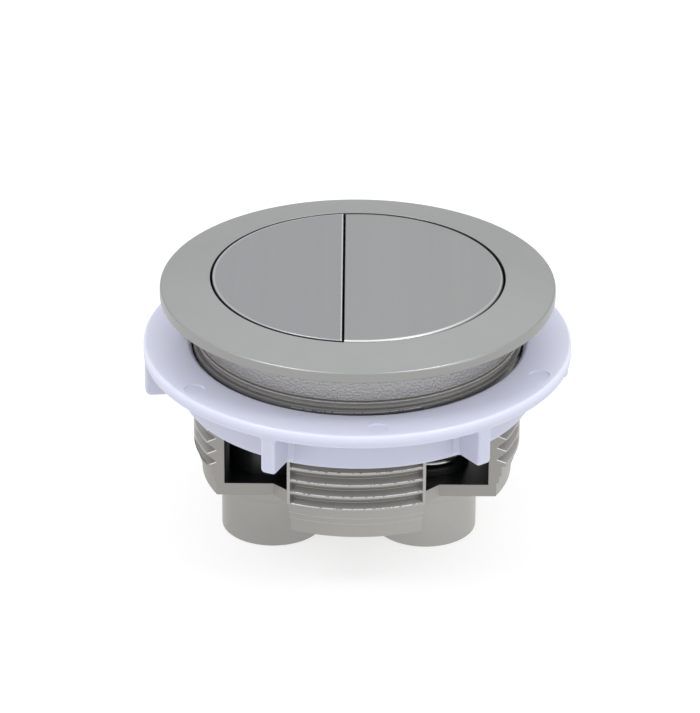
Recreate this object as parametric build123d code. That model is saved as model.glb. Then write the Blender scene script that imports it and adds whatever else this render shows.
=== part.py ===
from build123d import *
import math
import os

# Dual flush push button for a cistern lid, in millimetres.
# The origin is on the axis, in the plane where the flange sits on the lid, with +Z up.
# -Y is the front: the small button is on the left of it and the large one on the right.

# Flange and neck
flange_overhang = 6.7
flange_edge_height = 1.9
flange_crown = 1.5
flange_edge_round = 0.35
opening_lip = 0.3
opening_edge_bevel = 0.2
neck_relief = 0.85
neck_length = 6.8
bead_height = 0.55
bead_depth = 0.6
relief_height = 0.9
seal_recess_inset = 1.5
seal_recess_width = 3.6
seal_recess_depth = 0.8

# Threaded barrel
thread_radius = 29.15
thread_depth = 1.45
thread_pitch = 2.37
thread_length = 19.8
groove_flank_low = 0.65
groove_flank_high = 1.3
groove_fade = 3.3
lowest_groove_above_end = 1.0
step_heights = (2.0, 1.3)
step_depth = 0.4
barrel_wall = 2.75
barrel_foot_height = 2.7

# Windows between the front and back pads and the side legs
pad_half_angle = 24.6
pad_rim_width = 0.6
leg_face_gap = 1.56
window_top = -14.0
floor_corner_offset = 14.75
floor_thickness = 2.3
centre_web_thickness = 1.2
centre_web_gap = 0.9

# Guide tubes under the floor
small_axis_inset = 11.44
large_axis_inset = 14.07
tube_setback = 1.5
tube_radius = 9.2
tube_length = 11.4
tube_bore_radius = 7.9
tube_mouth_radius = 7.3
tube_edge_round = 0.5
tube_collar_height = 2.2
tube_collar_width = 0.4

# Buttons
press_travel = 6.0
split_offset = 2.5
split_gap = 0.3
button_clearance = 0.35
cap_thickness = 2.2
cap_edge_bevel = 0.35
skirt_depth = 7.8
skirt_wall = 1.3
socket_wall = 1.6
socket_boss_length = 4.0
socket_depth = 3.0
cap_rib_thickness = 1.0
cap_rib_height = 1.6

# Plungers, bushes and clips
stem_radius = 4.2
slide_clearance = 0.08
push_clearance = 0.05
plate_radius = 8.4
plate_thickness = 1.5
spigot_radius = 4.0
spigot_end_gap = 0.3
bush_depth = 3.7
bush_rise = 1.4
bush_collar_height = 1.2
sleeve_height = 14.0
sleeve_wall = 0.7
rod_socket_radius = 2.5
rod_socket_depth = 12.0
rod_socket_bevel = 0.4
stem_tail = 1.9
clip_thickness = 0.8
clip_seat_gap = 0.3
clip_radius = 6.2
clip_groove_depth = 0.9
clip_mouth_width = 5.2

# Springs
large_spring_radius = 7.0
large_wire_radius = 0.45
large_spring_turns = 7
small_spring_radius = 5.9
small_wire_radius = 0.4
small_spring_turns = 8
spring_seat_gap = 0.02
spring_wire_sides = 6
spring_runs_per_turn = 12

# Fixing nut
nut_flange_overhang = 6.6
nut_flange_thickness = 2.3
nut_clearance = 0.35
nut_bore_bevel = 0.6
nut_drop = 1.9
nut_height = 9.8
nut_collar_wall = 1.9
nut_edge_round = 0.7
lug_count = 6
lug_phase = 6.0
lug_thickness = 2.6
lug_rise = 0.3
lug_round = 1.2
lug_setback = 0.15
pin_mark_radius = 1.8
pin_mark_inset = 3.0
pin_mark_depth = 0.12

# Levels and places worked out from the sizes above
barrel_inner_radius = thread_radius - barrel_wall
opening_radius = barrel_inner_radius - opening_lip
neck_radius = thread_radius - neck_relief
flange_radius = neck_radius + flange_overhang
seal_recess_inner = neck_radius + seal_recess_inset
leg_face_offset = tube_setback + tube_radius + leg_face_gap
top_level = flange_edge_height + flange_crown
thread_top = -(neck_length + bead_height + relief_height)
thread_end = thread_top - thread_length
step_one_end = thread_end - step_heights[0]
step_two_end = step_one_end - step_heights[1]
barrel_end = step_two_end - barrel_foot_height
foot_radius = thread_radius - thread_depth
floor_top = barrel_end + floor_thickness
tube_end = barrel_end - tube_length
bush_seat = floor_top - bush_depth
bush_top = floor_top + bush_rise
clip_top = bush_seat - clip_seat_gap
clip_bottom = clip_top - clip_thickness
stem_end = clip_bottom - stem_tail
cap_under = top_level - cap_thickness
skirt_end = cap_under - skirt_depth
plate_top = cap_under - socket_boss_length
plate_under = plate_top - plate_thickness
web_top = skirt_end - press_travel - centre_web_gap
button_radius = opening_radius - button_clearance
nut_bore_radius = thread_radius + nut_clearance
nut_top = -(neck_length + nut_drop)
nut_bottom = nut_top - nut_height
nut_collar_radius = nut_bore_radius + nut_collar_wall
nut_flange_radius = nut_collar_radius + nut_flange_overhang
small_axis = (small_axis_inset - barrel_inner_radius, -tube_setback)
large_axis = (barrel_inner_radius - large_axis_inset, -tube_setback)
lead_angle = math.degrees(math.atan(thread_pitch / (4 * thread_radius)))
far = 3 * flange_radius


def ring(outer, inner, low, high):
    """A plain ring round the Z axis between two levels."""
    middle = (low + high) / 2
    body = Cylinder(outer, high - low)
    if inner:
        body -= Cylinder(inner, 2 * (high - low))
    return Pos(0, 0, middle) * body


def turned(points):
    """A closed outline of (radius, level) points, turned round the Z axis."""
    outline = make_face(Polyline(*[(r, 0, z) for r, z in points], close=True))
    return revolve(outline, Axis.Z)


def barrel_blank():
    """Flange, neck and barrel before the thread, windows and floor are made."""
    body = turned([
        (opening_radius, 0),
        (opening_radius, top_level - opening_edge_bevel),
        (opening_radius + opening_edge_bevel, top_level),
        (flange_radius - flange_edge_round, flange_edge_height + flange_edge_round / 2),
        (flange_radius, flange_edge_height - flange_edge_round / 2),
        (flange_radius, 0),
        (seal_recess_inner + seal_recess_width, 0),
        (seal_recess_inner + seal_recess_width, seal_recess_depth),
        (seal_recess_inner, seal_recess_depth),
        (seal_recess_inner, 0),
        (neck_radius, 0),
        (neck_radius, -neck_length),
        (neck_radius + bead_depth, -neck_length),
        (neck_radius + bead_depth, -neck_length - bead_height),
        (neck_radius, -neck_length - bead_height),
        (neck_radius, thread_top),
        (thread_radius, thread_top),
        (thread_radius, thread_end),
        (foot_radius + 2 * step_depth, thread_end),
        (foot_radius + 2 * step_depth, step_one_end),
        (foot_radius + step_depth, step_one_end),
        (foot_radius + step_depth, step_two_end),
        (foot_radius, step_two_end),
        (foot_radius, barrel_end),
        (barrel_inner_radius, barrel_end),
        (barrel_inner_radius, 0),
    ])
    return body


def pad_rims(level):
    """The thin walls at the sides of the front and back pads, where the thread stops."""
    rims = []
    for side in (-1, 1):
        for turn in (0, 180):
            wall = Pos(-side * pad_rim_width / 2, -far / 2, 0) * Box(pad_rim_width, far, 4 * thread_pitch)
            rims.append(Pos(0, 0, level) * Rot(0, 0, turn + side * pad_half_angle) * wall)
    return rims


def groove(level, side):
    """Half a turn of V groove over the front (side -1) or back (side 1), dying out at the sides.

    Each half turn lies in one tilted plane, so that the halves join into a right-hand helix.
    """
    root = thread_radius - thread_depth
    rim = thread_radius + thread_depth
    cutter = turned([
        (root, level),
        (rim, level + 2 * groove_flank_high),
        (rim, level - 2 * groove_flank_low),
    ])
    cutter = Pos(0, 0, level) * Rot(0, side * lead_angle, 0) * Pos(0, 0, -level) * cutter
    kept = Pos(0, -side * groove_fade, level) * Cylinder(thread_radius, 4 * thread_pitch)
    half = Pos(0, side * far / 2, level) * Box(far, far, 4 * thread_pitch)
    return (cutter & half) - kept - pad_rims(level)


def window(mirror_x, mirror_y):
    """The notch between a pad and a leg, through wall and floor."""
    angle = math.radians(pad_half_angle)
    reach = leg_face_offset
    slope = math.tan(angle)
    run = (floor_corner_offset - slope * reach) / (1 + slope)
    inner = (floor_corner_offset - run, reach + run)
    outer = (far * math.sin(angle), far * math.cos(angle))
    points = [(floor_corner_offset, reach), inner, outer, (far, reach)]
    outline = Polyline(*[(mirror_x * x, mirror_y * y) for x, y in points], close=True)
    height = window_top - barrel_end + floor_thickness
    return Pos(0, 0, window_top - height) * extrude(make_face(outline), amount=height, dir=(0, 0, 1))


def guide_tube(axis):
    """A tube under the floor with its collar and rounded end, still solid."""
    tube = Cylinder(tube_radius, tube_length)
    tube = fillet(tube.edges().group_by(Axis.Z)[0], tube_edge_round)
    tube = Pos(0, 0, barrel_end - tube_length / 2) * tube
    collar = ring(tube_radius + tube_collar_width, 0, barrel_end - tube_collar_height, barrel_end)
    root = ring(tube_radius, 0, barrel_end, floor_top)
    return Pos(axis[0], axis[1], 0) * (tube + collar + root)


def tube_bore(axis):
    """The stepped hole through floor and tube that takes the bush."""
    upper = ring(tube_bore_radius, 0, bush_seat, floor_top + 1)
    lower = ring(tube_mouth_radius, 0, tube_end - 1, bush_seat)
    return Pos(axis[0], axis[1], 0) * (upper + lower)


def make_housing():
    """Flange, neck, threaded barrel, floor, centre web and guide tubes in one moulding."""
    body = barrel_blank()
    body += ring(barrel_inner_radius + slide_clearance, 0, barrel_end, floor_top)
    lowest = thread_end + lowest_groove_above_end
    count = int((thread_length - 2 * lowest_groove_above_end) / thread_pitch) + 1
    for side in (-1, 1):
        for index in range(count):
            half_turn = thread_pitch / 4 * (side + 1)
            body -= groove(lowest + index * thread_pitch + half_turn, side)
    web_height = web_top - floor_top
    web_span = 2 * math.sqrt(barrel_inner_radius ** 2 - split_offset ** 2) + slide_clearance
    web_middle = floor_top + web_height / 2
    body += Pos(-split_offset, 0, web_middle) * Box(centre_web_thickness, web_span, web_height)
    for mirror_x in (-1, 1):
        for mirror_y in (-1, 1):
            body -= window(mirror_x, mirror_y)
    for axis in (small_axis, large_axis):
        body += guide_tube(axis)
    for axis in (small_axis, large_axis):
        body -= tube_bore(axis)
    return body


def half_disc(radius, side, low, high, inset=0.0):
    """The part of a disc on one side of the split, set back from it by inset."""
    edge = -split_offset + side * (split_gap / 2 + inset)
    keep = Pos(edge + side * far / 2, 0, (low + high) / 2) * Box(far, far, high - low)
    return ring(radius, 0, low, high) & keep


def make_cap(side, axis):
    """A button cap: a segment plate with a skirt, ribs and a socket for its plunger."""
    plate = half_disc(button_radius, side, skirt_end, top_level)
    plate = chamfer(plate.edges().group_by(Axis.Z)[-1], cap_edge_bevel)
    plate -= half_disc(button_radius - skirt_wall, side, skirt_end - 1, cap_under, skirt_wall)
    boss_radius = spigot_radius + socket_wall
    boss = Pos(axis[0], axis[1], 0) * ring(boss_radius, 0, plate_top, cap_under)
    rib_level = cap_under - cap_rib_height / 2
    long_rib = Pos(axis[0], 0, rib_level) * Box(cap_rib_thickness, far, cap_rib_height)
    cross_rib = Pos(0, axis[1], rib_level) * Box(far, cap_rib_thickness, cap_rib_height)
    room = half_disc(button_radius - skirt_wall / 2, side, skirt_end, cap_under, skirt_wall / 2)
    ribs = (long_rib + cross_rib) & room
    socket = Pos(axis[0], axis[1], 0) * ring(
        spigot_radius + push_clearance, 0, plate_top - 1, plate_top + socket_depth
    )
    return plate + ribs + boss - socket


def make_plunger(axis):
    """Spigot, spring plate and stem, with a clip groove and a socket for the push rod."""
    body = ring(spigot_radius, 0, plate_top, plate_top + socket_depth - spigot_end_gap)
    body += ring(plate_radius, 0, plate_under, plate_top)
    body += ring(stem_radius, 0, stem_end, plate_under)
    body -= ring(stem_radius + 1, stem_radius - clip_groove_depth, clip_bottom, clip_top)
    body -= ring(rod_socket_radius, 0, stem_end - 1, stem_end + rod_socket_depth)
    body -= turned([
        (0, stem_end),
        (rod_socket_radius + rod_socket_bevel, stem_end),
        (rod_socket_radius, stem_end + rod_socket_bevel),
        (0, stem_end + rod_socket_bevel),
    ])
    return Pos(axis[0], axis[1], 0) * body


def make_bush(axis, spring_radius, wire_radius, sleeved):
    """A guide bush in the tube that carries the spring and slides the stem."""
    outer = tube_bore_radius - push_clearance
    bore = stem_radius + slide_clearance
    body = ring(outer, bore, bush_seat, bush_top)
    coil_inside = spring_radius * math.cos(math.pi / spring_runs_per_turn) - wire_radius
    collar_radius = coil_inside - push_clearance
    body += ring(collar_radius, bore, bush_top, bush_top + bush_collar_height)
    if sleeved:
        body += ring(outer, outer - sleeve_wall, bush_top, bush_top + sleeve_height)
    return Pos(axis[0], axis[1], 0) * body


def make_spring(axis, radius, wire, turns):
    """A coil between the bush and the spring plate, bent from short straight runs."""
    low = bush_top + wire + spring_seat_gap
    rise = plate_under - wire - spring_seat_gap - low
    runs = turns * spring_runs_per_turn
    route = []
    for index in range(runs + 1):
        angle = 2 * math.pi * index / spring_runs_per_turn
        route.append((radius * math.cos(angle), radius * math.sin(angle), rise * index / runs))
    path = Polyline(*route)
    section = Plane(origin=path @ 0, z_dir=path % 0) * RegularPolygon(wire, spring_wire_sides)
    coil = sweep(section, path=path, transition=Transition.RIGHT)
    return Pos(axis[0], axis[1], low) * coil


def make_clip(axis):
    """An open steel ring that snaps into the stem groove under the bush."""
    inner = stem_radius - clip_groove_depth + push_clearance
    low = clip_bottom + push_clearance
    high = clip_top - push_clearance
    body = ring(clip_radius, inner, low, high)
    mouth = Pos(0, -clip_radius, (low + high) / 2) * Box(clip_mouth_width, 2 * clip_radius, 2)
    return Pos(axis[0], axis[1], 0) * (body - mouth)


def make_nut():
    """The white fixing nut: flange, collar, radial lugs and ejector marks."""
    body = turned([
        (nut_bore_radius + nut_bore_bevel, nut_top),
        (nut_flange_radius - nut_edge_round, nut_top),
        (nut_flange_radius, nut_top - nut_edge_round),
        (nut_flange_radius, nut_top - nut_flange_thickness),
        (nut_collar_radius, nut_top - nut_flange_thickness),
        (nut_collar_radius, nut_bottom),
        (nut_bore_radius, nut_bottom),
        (nut_bore_radius, nut_top - nut_bore_bevel),
    ])
    lug_inner = nut_bore_radius + nut_collar_wall / 2
    lug_low = nut_bottom + lug_rise
    lug_high = nut_top - nut_flange_thickness / 2
    lug_length = nut_flange_radius - lug_inner
    lug = Box(lug_length, lug_thickness, lug_high - lug_low)
    lower_outer = lug.edges().filter_by(Axis.Y).group_by(Axis.Z)[0].sort_by(Axis.X)[-1:]
    lug = fillet(lower_outer, lug_round)
    lug = Pos(lug_inner + lug_length / 2, 0, (lug_low + lug_high) / 2) * lug
    lug &= ring(nut_flange_radius - lug_setback, 0, lug_low - 1, lug_high + 1)
    mark_place = nut_flange_radius - pin_mark_inset
    mark = Pos(mark_place, 0, nut_top) * Cylinder(pin_mark_radius, 2 * pin_mark_depth)
    for index in range(lug_count):
        turn = lug_phase + index * 360 / lug_count
        body += Rot(0, 0, turn) * lug
        body -= Rot(0, 0, turn + 180 / lug_count) * mark
    return body


parts = {
    "housing": make_housing(),
    "fixing_nut": make_nut(),
    "small_button_cap": make_cap(-1, small_axis),
    "large_button_cap": make_cap(1, large_axis),
    "small_plunger": make_plunger(small_axis),
    "large_plunger": make_plunger(large_axis),
    "small_guide_bush": make_bush(small_axis, small_spring_radius, small_wire_radius, True),
    "large_guide_bush": make_bush(large_axis, large_spring_radius, large_wire_radius, False),
    "small_spring": make_spring(small_axis, small_spring_radius, small_wire_radius, small_spring_turns),
    "large_spring": make_spring(large_axis, large_spring_radius, large_wire_radius, large_spring_turns),
    "small_retaining_clip": make_clip(small_axis),
    "large_retaining_clip": make_clip(large_axis),
}

os.makedirs("parts", exist_ok=True)
for name, shape in parts.items():
    export_step(shape, "parts/" + name + ".step")
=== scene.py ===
import math

import bmesh
import bpy
import numpy as np
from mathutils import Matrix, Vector


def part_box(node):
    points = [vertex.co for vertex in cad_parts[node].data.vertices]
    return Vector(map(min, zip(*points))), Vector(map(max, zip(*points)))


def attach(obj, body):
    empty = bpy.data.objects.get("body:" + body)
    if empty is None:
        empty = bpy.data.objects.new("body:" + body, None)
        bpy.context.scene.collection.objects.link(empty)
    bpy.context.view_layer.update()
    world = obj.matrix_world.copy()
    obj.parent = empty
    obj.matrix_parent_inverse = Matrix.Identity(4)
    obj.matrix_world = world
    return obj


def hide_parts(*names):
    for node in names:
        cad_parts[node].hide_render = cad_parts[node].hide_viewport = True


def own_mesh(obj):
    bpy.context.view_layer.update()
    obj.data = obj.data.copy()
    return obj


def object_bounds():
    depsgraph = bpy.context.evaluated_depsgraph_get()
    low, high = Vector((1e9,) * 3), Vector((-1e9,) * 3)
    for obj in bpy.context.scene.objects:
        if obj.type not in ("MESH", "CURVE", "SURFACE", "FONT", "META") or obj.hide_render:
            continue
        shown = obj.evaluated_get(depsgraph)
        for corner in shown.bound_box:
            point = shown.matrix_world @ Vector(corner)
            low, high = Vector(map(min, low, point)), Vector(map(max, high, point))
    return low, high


bl_info = {
    "name": "Cistern push button",
    "version": (1, 0, 0),
    "blender": (4, 5, 0),
    "location": "3D View > Sidebar > Push button",
    "description": "Gives the dual flush push button its fine moulded shapes and finishes",
    "category": "Add Mesh",
}

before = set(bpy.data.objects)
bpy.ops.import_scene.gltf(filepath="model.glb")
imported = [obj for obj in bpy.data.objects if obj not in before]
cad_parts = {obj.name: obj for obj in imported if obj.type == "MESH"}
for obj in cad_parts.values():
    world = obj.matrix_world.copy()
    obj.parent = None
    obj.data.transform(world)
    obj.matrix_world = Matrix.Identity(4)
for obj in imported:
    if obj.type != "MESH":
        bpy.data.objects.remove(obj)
CAD_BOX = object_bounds()

# Lengths are in metres, in the frame of the packed model. MM turns millimetres into them.
MM = 0.001
TURN = 2 * math.pi
MERGE = 0.0005 * MM
SHARP_ANGLE = math.radians(32)
FAR = 100 * MM

# A groove's flanks below and above its root, the lowest root above the thread's end, and the share of the
# pitch, counted up from a root, where the crest meets the next groove's lower flank
FLANK_LOW = 0.65 * MM
FLANK_HIGH = 1.3 * MM
LOWEST_GROOVE = 1.0 * MM
CREST_EDGE = 0.73

# Level under which the housing counts as below the flange, for its colours
UNDER_FLANGE = -0.3 * MM

# Share of a cap's edge rounding that its side at the split has
SPLIT_ROUND = 0.35

SPIGOT_RADIUS = 4.0 * MM
SPIGOT_LENGTH = 2.7 * MM
PRESS_TRAVEL = 6.0 * MM

# The sky's strength from the horizon up to this height of the view direction
SKY_RISE, SKY_LOW, SKY_HIGH = 0.5, 0.62, 0.95
# Name, place, size and power of each area light
LIGHTS = (
    ("left_top", (-0.65, -0.45, 1.1), 0.45, 3.0),
    ("right_top", (0.65, -0.45, 1.1), 0.45, 3.0),
    ("back_top", (0.1, 0.95, 1.0), 0.9, 0.3),
    ("right_low", (1.0, -0.6, 0.2), 0.6, 0.6),
)
# The camera fitted to the photograph: its focal length and shifts are in pixels of the picture's longer side
PICTURE = 713
FOCAL_PIXELS, SHIFT_X, SHIFT_Y = 5245, -7.05, 30
SENSOR_WIDTH = 36
CAMERA_DISTANCE, CAMERA_ELEVATION, CAMERA_ROLL = 0.936, math.radians(27.27), 0.007
CAMERA_TARGET = (0, 0, -18.6 * MM)


def length(name, text, millimetres):
    """A length setting with its default given in millimetres."""
    return bpy.props.FloatProperty(
        name=name, description=text, default=millimetres * MM, unit="LENGTH", precision=5
    )


def colour(name, text, red, green, blue):
    """A colour setting in linear light."""
    return bpy.props.FloatVectorProperty(
        name=name, description=text, default=(red, green, blue), size=3, subtype="COLOR", min=0, max=1
    )


class HousingSizes(bpy.types.PropertyGroup):
    """Sizes of the flanged and threaded housing."""

    flange_radius: length("Flange radius", "Outside of the ring that covers the hole", 35.0)
    flange_edge: length("Flange edge", "Height of the flange at its rim", 1.9)
    flange_crown: length("Flange crown", "Rise of the flange from rim to opening", 1.5)
    opening_radius: length("Opening radius", "Hole in the flange that the buttons fill", 26.1)
    neck_radius: length("Neck radius", "Plain neck under the flange", 28.3)
    neck_length: length("Neck length", "From the flange seat to the bead", 6.8)
    bead_height: length("Bead height", "Height of the bead under the neck", 0.55)
    bead_depth: length("Bead depth", "How far the bead stands out", 0.6)
    relief_height: length("Relief height", "Gap between bead and thread", 0.9)
    thread_radius: length("Thread radius", "Crests of the thread", 29.15)
    thread_depth: length("Thread depth", "From crest to root", 1.45)
    thread_pitch: length("Thread pitch", "From crest to crest", 2.37)
    thread_length: length("Thread length", "Height of the threaded part", 19.8)
    groove_fade: length("Groove fade", "How early a groove dies out at the sides", 3.3)
    inner_radius: length("Inner radius", "Inside of the barrel wall", 26.4)
    foot_height: length("Foot height", "Plain lowest ring of the barrel", 2.7)
    floor_thickness: length("Floor thickness", "Plate that carries the guide tubes", 2.3)
    window_top: length("Window top", "Level where the four windows end", -14.0)
    leg_face: length("Leg face", "Flat side of a leg, from the middle", 12.26)
    floor_corner: length("Floor corner", "Inner corner of a window, from the middle", 14.75)
    pad_rim: length("Pad rim", "Thin wall at a pad's side, where the thread stops", 0.6)
    pad_angle: bpy.props.FloatProperty(
        name="Pad angle", description="Half the angle that a threaded pad spans",
        default=math.radians(24.6), subtype="ANGLE"
    )
    web_thickness: length("Web thickness", "Wall under the split between the buttons", 1.2)
    web_top: length("Web top", "Level of the web's upper edge", -13.5)
    small_axis: length("Small axis", "Guide tube of the small button, across", -14.96)
    large_axis: length("Large axis", "Guide tube of the large button, across", 12.33)
    tube_setback: length("Tube setback", "How far the guide tubes sit forward", 1.5)
    tube_radius: length("Tube radius", "Outside of a guide tube", 9.2)
    tube_length: length("Tube length", "From the floor to the tube's end", 11.4)
    tube_bore: length("Tube bore", "Inside of a guide tube above the bush seat", 7.9)
    tube_mouth: length("Tube mouth", "Inside of a guide tube below the bush seat", 7.3)

    @property
    def top(self):
        return self.flange_edge + self.flange_crown

    @property
    def thread_top(self):
        return -(self.neck_length + self.bead_height + self.relief_height)

    @property
    def thread_end(self):
        return self.thread_top - self.thread_length

    @property
    def step_one(self):
        return self.thread_end - 2.0 * MM

    @property
    def foot_top(self):
        return self.thread_end - 3.3 * MM

    @property
    def barrel_end(self):
        return self.foot_top - self.foot_height

    @property
    def floor_top(self):
        return self.barrel_end + self.floor_thickness

    @property
    def bush_seat(self):
        return self.floor_top - 3.7 * MM

    @property
    def bush_top(self):
        return self.floor_top + 1.4 * MM

    def axis(self, small):
        """Where a guide tube stands, seen from above."""
        return (self.small_axis if small else self.large_axis), -self.tube_setback


class ButtonSizes(bpy.types.PropertyGroup):
    """Sizes of the two button caps and their plungers."""

    radius: length("Radius", "Outside of the split button", 25.75)
    split: length("Split", "Place of the split, across", -2.5)
    gap: length("Gap", "Width of the split", 0.3)
    small_round: length("Small round", "Rounding of the small cap's upper edge", 0.28)
    large_round: length("Large round", "Rounding of the large cap's upper edge", 0.55)
    front_gap: length("Front gap", "How far the small cap stays back at the front", 0.4)
    plate: length("Plate", "Thickness of the cap's plate", 2.2)
    skirt: length("Skirt", "Depth of the cap's skirt under the plate", 7.8)
    wall: length("Wall", "Thickness of the skirt", 1.3)
    socket_length: length("Socket length", "Boss under the plate for the plunger", 4.0)
    stem_radius: length("Stem radius", "Sliding stem of the plunger", 4.2)
    plate_radius: length("Spring plate radius", "Disc that the spring pushes on", 8.4)
    plate_thickness: length("Spring plate thickness", "Thickness of that disc", 1.5)
    stem_end: length("Stem end", "Lowest level of the stem", -38.45)
    socket_depth: length("Rod socket depth", "Hole for the push rod", 12.0)


class NutSizes(bpy.types.PropertyGroup):
    """Sizes of the white fixing nut."""

    radius: length("Radius", "Outside of the nut's flange", 38.0)
    bore: length("Bore", "Hole that clears the thread", 29.5)
    top: length("Top", "Level of the nut's upper face", -8.7)
    thickness: length("Thickness", "Thickness of the flange", 2.3)
    height: length("Height", "From the upper face to the collar's end", 9.8)
    collar: length("Collar", "Wall of the collar", 1.9)
    edge_round: length("Edge round", "Rounding of the flange's rim", 0.7)
    lug_thickness: length("Lug thickness", "Width of a gripping lug", 2.6)
    lug_rise: length("Lug rise", "How far a lug stops above the collar's end", 0.3)
    lugs: bpy.props.IntProperty(name="Lugs", description="Gripping lugs round the nut", default=6, min=1)
    phase: bpy.props.FloatProperty(
        name="Phase", description="Turn of the first lug", default=math.radians(6), subtype="ANGLE"
    )
    mark_radius: length("Mark radius", "Round ejector marks on the flange", 1.8)
    mark_circle: length("Mark circle", "Distance of the marks from the axis", 35.0)


class SpringSizes(bpy.types.PropertyGroup):
    """Sizes of the two return springs and their clips."""

    large_radius: length("Large radius", "Middle of the wire, large button", 7.0)
    large_wire: length("Large wire", "Radius of the wire, large button", 0.45)
    large_turns: bpy.props.FloatProperty(name="Large turns", description="Turns, large button", default=7)
    small_radius: length("Small radius", "Middle of the wire, small button", 5.9)
    small_wire: length("Small wire", "Radius of the wire, small button", 0.4)
    small_turns: bpy.props.FloatProperty(name="Small turns", description="Turns, small button", default=8)
    clip_radius: length("Clip radius", "Outside of a retaining clip", 6.2)
    clip_mouth: length("Clip mouth", "Opening of a retaining clip", 5.2)

    def of(self, small):
        """Radius, wire and turns of one spring."""
        if small:
            return self.small_radius, self.small_wire, self.small_turns
        return self.large_radius, self.large_wire, self.large_turns


class Finishes(bpy.types.PropertyGroup):
    """Colours of the materials and of the stage."""

    # The plating's tones by level are painted light and shade; below the thread a painted gradient runs from
    # the warm nickel on the left to the thread nickel on the right
    nickel: colour("Nickel", "Satin plating of the flange", 0.395, 0.40, 0.40)
    warm_nickel: colour("Warm nickel", "Satin plating under the flange", 0.34, 0.333, 0.318)
    thread_nickel: colour("Thread nickel", "Satin plating of neck and thread", 0.43, 0.42, 0.40)
    # Painted shade colour for the flange's rim and the cove under it
    painted_shade_nickel: colour("Shaded nickel", "Flange rim and the cove under it", 0.315, 0.315, 0.31)
    cut_nickel: colour("Cut nickel", "Plating on the cut faces of the windows", 0.345, 0.335, 0.315)
    # Painted highlight colour for the edges of the thread, the pads' steps and the flanks on the cut faces
    painted_edge_highlight: colour("Bright edge", "Worn edges of the thread", 0.95, 0.94, 0.92)
    button: colour("Button nickel", "Brushed plating of the large button", 0.353, 0.358, 0.362)
    cool_button: colour("Cool button nickel", "Brushed plating of the small button", 0.335, 0.346, 0.357)
    glint: colour("Glint", "Bright lines on the buttons' edges", 0.9, 0.91, 0.93)
    nylon: colour("Nylon", "Fixing nut", 0.71, 0.73, 0.88)
    nylon_cloud: colour("Nylon cloud", "Faint clouds in the nylon", 0.8, 0.82, 0.95)
    acetal: colour("Acetal", "Bushes, plungers and the inside", 0.011, 0.012, 0.0125)
    steel: colour("Steel", "Springs and clips", 0.62, 0.62, 0.61)
    floor: colour("Floor", "Studio floor", 0.35, 0.35, 0.35)
    floor_glow: bpy.props.FloatProperty(
        name="Floor glow", description="Light through the floor, as on a light table", default=0.70
    )


# Meshes


def link(name, data):
    """A new object for a mesh, lamp or camera, at the origin."""
    thing = bpy.data.objects.new(name, data)
    bpy.context.scene.collection.objects.link(thing)
    return thing


def rounded(outline, steps=3):
    """A closed outline of (across, up, round) corners, each corner turned into a small arc."""
    corners = [Vector(corner[:2]) for corner in outline]
    points = []
    for index, corner in enumerate(corners):
        reach = outline[index][2] if len(outline[index]) > 2 else 0
        if not reach:
            points.append(tuple(corner))
            continue
        ahead = corners[(index + 1) % len(corners)] - corner
        back = corners[index - 1] - corner
        reach = min(reach, 0.45 * ahead.length, 0.45 * back.length)
        start, end = corner + back.normalized() * reach, corner + ahead.normalized() * reach
        for step in range(steps + 1):
            share = step / steps
            points.append(tuple(start.lerp(corner, share).lerp(corner.lerp(end, share), share)))
    return points


def closed_grid(name, columns, wrap_columns=True):
    """A closed skin over columns of points. Rows and columns run round; single points become poles."""
    columns = np.asarray(columns, float)
    count, rows = columns.shape[:2]
    faces = []
    for i in range(count if wrap_columns else count - 1):
        for j in range(rows):
            a, b = i * rows, (i + 1) % count * rows
            k = (j + 1) % rows
            faces.append((a + j, a + k, b + k, b + j))
    mesh = bpy.data.meshes.new(name)
    mesh.from_pydata(columns.reshape(-1, 3).tolist(), [], faces)
    work = bmesh.new()
    work.from_mesh(mesh)
    if not wrap_columns:
        work.verts.ensure_lookup_table()
        for first in (0, (count - 1) * rows):
            work.faces.new([work.verts[first + j] for j in range(rows)])
    bmesh.ops.remove_doubles(work, verts=work.verts, dist=MERGE)
    bmesh.ops.dissolve_degenerate(work, edges=work.edges, dist=MERGE)
    bmesh.ops.recalc_face_normals(work, faces=work.faces)
    work.to_mesh(mesh)
    work.free()
    return mesh


def turned(name, outline, sides=128, centre=(0, 0)):
    """A closed outline of (radius, level, round) corners, turned round an upright axis."""
    points = np.array(rounded(outline))
    angles = np.arange(sides) * TURN / sides
    columns = np.stack([
        centre[0] + np.outer(np.cos(angles), points[:, 0]),
        centre[1] + np.outer(np.sin(angles), points[:, 0]),
        np.tile(points[:, 1], (sides, 1)),
    ], axis=-1)
    return closed_grid(name, columns)


def loft(name, rows):
    """A closed skin over flat outlines, one above the other, with both ends filled."""
    mesh = bpy.data.meshes.new(name)
    work = bmesh.new()
    loops = [[work.verts.new(point) for point in row] for row in rows]
    work.faces.new(loops[0])
    work.faces.new(loops[-1])
    for lower, upper in zip(loops, loops[1:]):
        for i in range(len(lower)):
            work.faces.new((lower[i - 1], lower[i], upper[i], upper[i - 1]))
    bmesh.ops.remove_doubles(work, verts=work.verts, dist=MERGE)
    bmesh.ops.recalc_face_normals(work, faces=work.faces)
    work.to_mesh(mesh)
    work.free()
    return mesh


def prism(name, outline, low, high):
    """A flat outline carried straight up between two levels."""
    return loft(name, [[(x, y, level) for x, y in outline] for level in (low, high)])


def made_plain(thing):
    """The mesh that an object's modifiers give. The object's own modifiers are taken off."""
    mesh = bpy.data.meshes.new_from_object(thing.evaluated_get(bpy.context.evaluated_depsgraph_get()))
    thing.modifiers.clear()
    return mesh


def combine(base, others, operation):
    """The mesh base joined with, or cut by, each of the other meshes."""
    body = link("work_body", base)
    for other in others:
        tool = link("work_tool", other)
        change = body.modifiers.new("combine", "BOOLEAN")
        change.operation, change.object, change.solver = operation, tool, "MANIFOLD"
        body.data = made_plain(body)
        bpy.data.objects.remove(tool)
    mesh = body.data
    bpy.data.objects.remove(body)
    return mesh


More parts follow.
